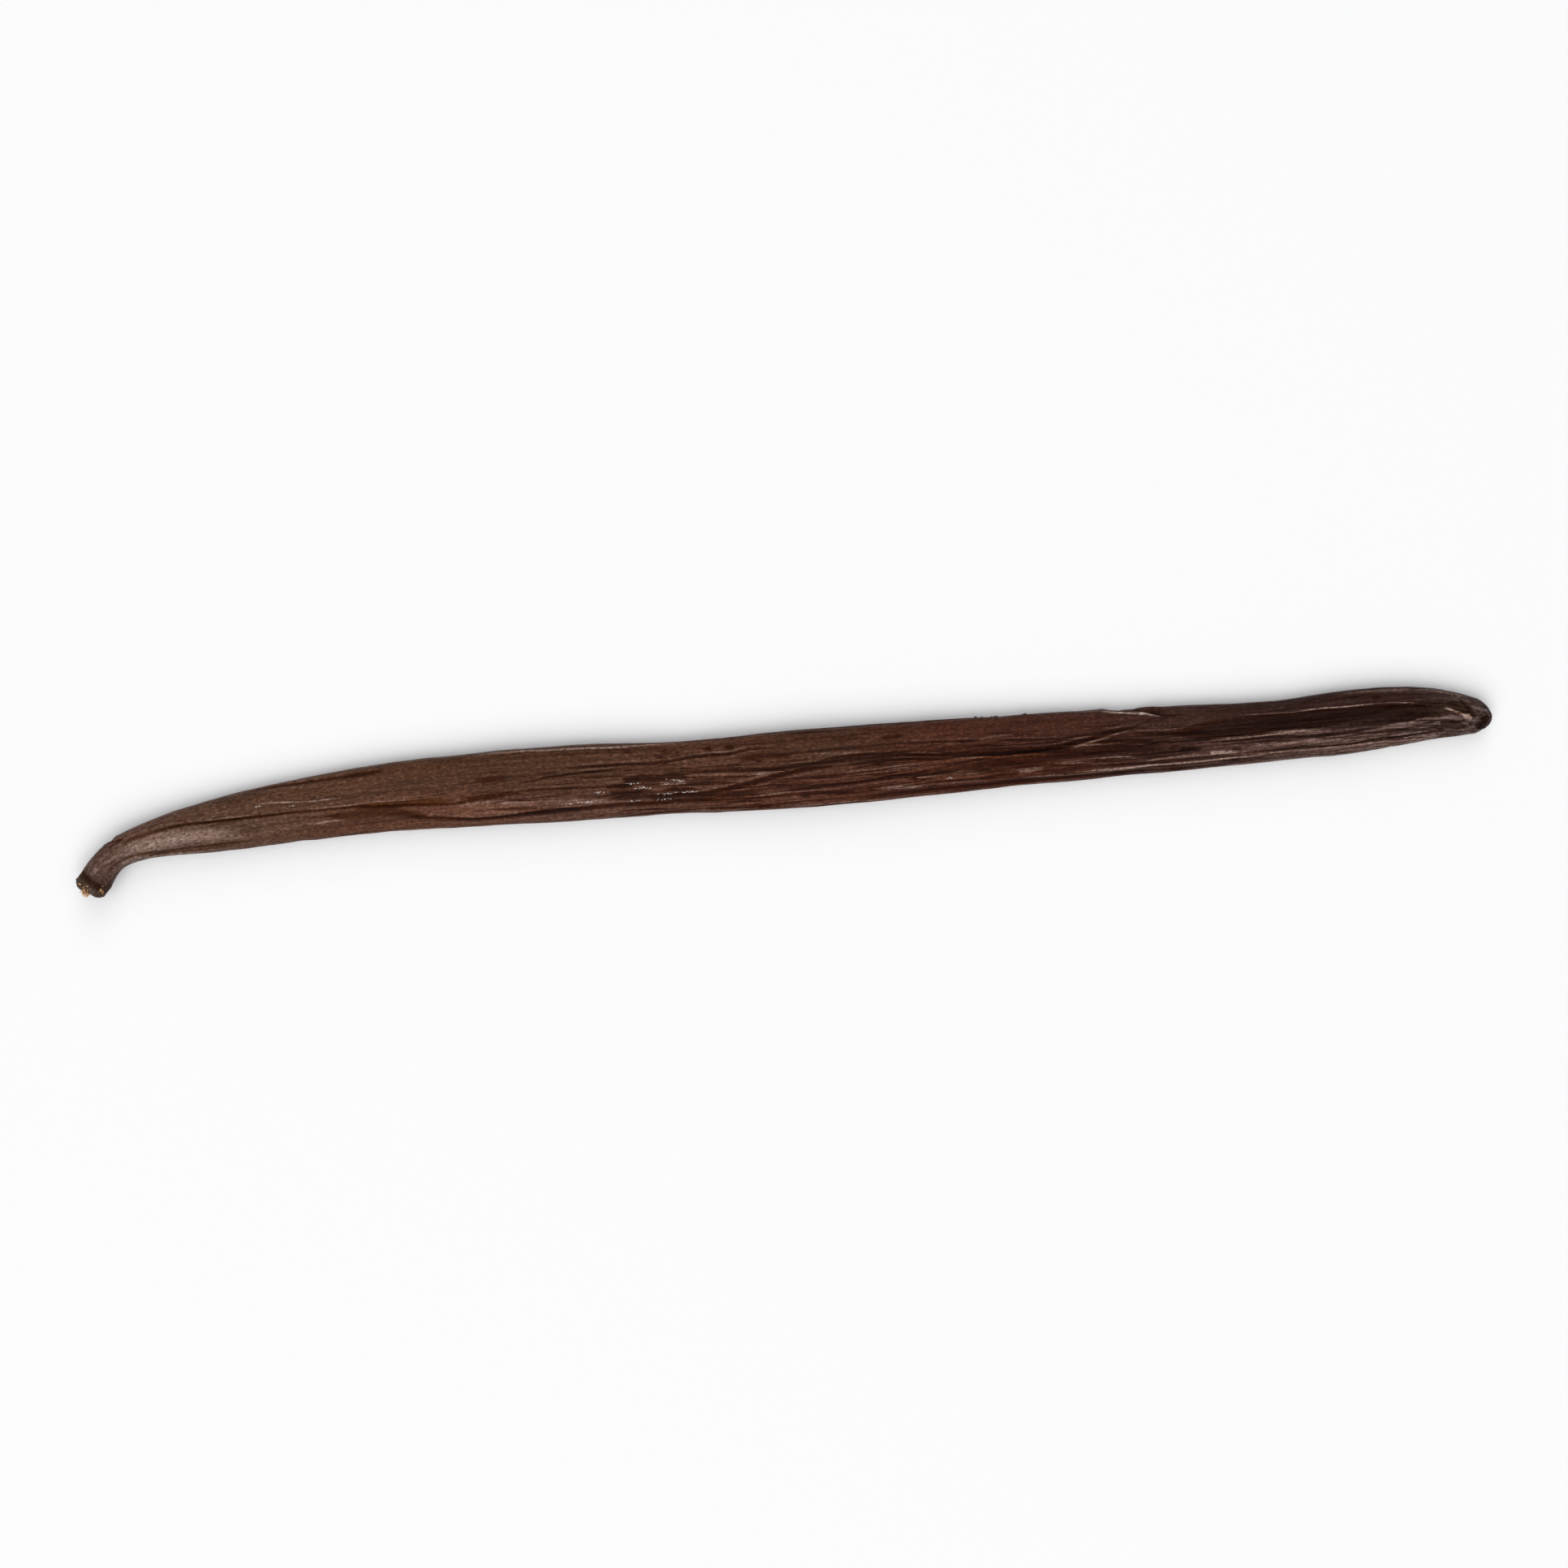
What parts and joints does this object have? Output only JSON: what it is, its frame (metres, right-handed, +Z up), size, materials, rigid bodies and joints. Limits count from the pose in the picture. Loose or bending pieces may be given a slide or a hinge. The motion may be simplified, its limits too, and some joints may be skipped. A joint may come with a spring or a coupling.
{
  "type": "vanilla pod",
  "caption": "Whole cured vanilla pod lying flat: long, slim and creased, with a hooked stem end and a blunt dark tip.",
  "frame": {"origin": "middle of the pod's box, at the height of the table that it lies on", "axes": "+X from the stem end to the tip, +Z up, +Y across the pod"},
  "size_m": [0.167, 0.013, 0.0047],
  "materials": {
    "pod_skin": "supple dark brown skin, oily satin, with fine lengthwise creases"
  },
  "bodies": {
    "root": {"vanilla_pod": "pod_skin"}
  },
  "joints": []
}
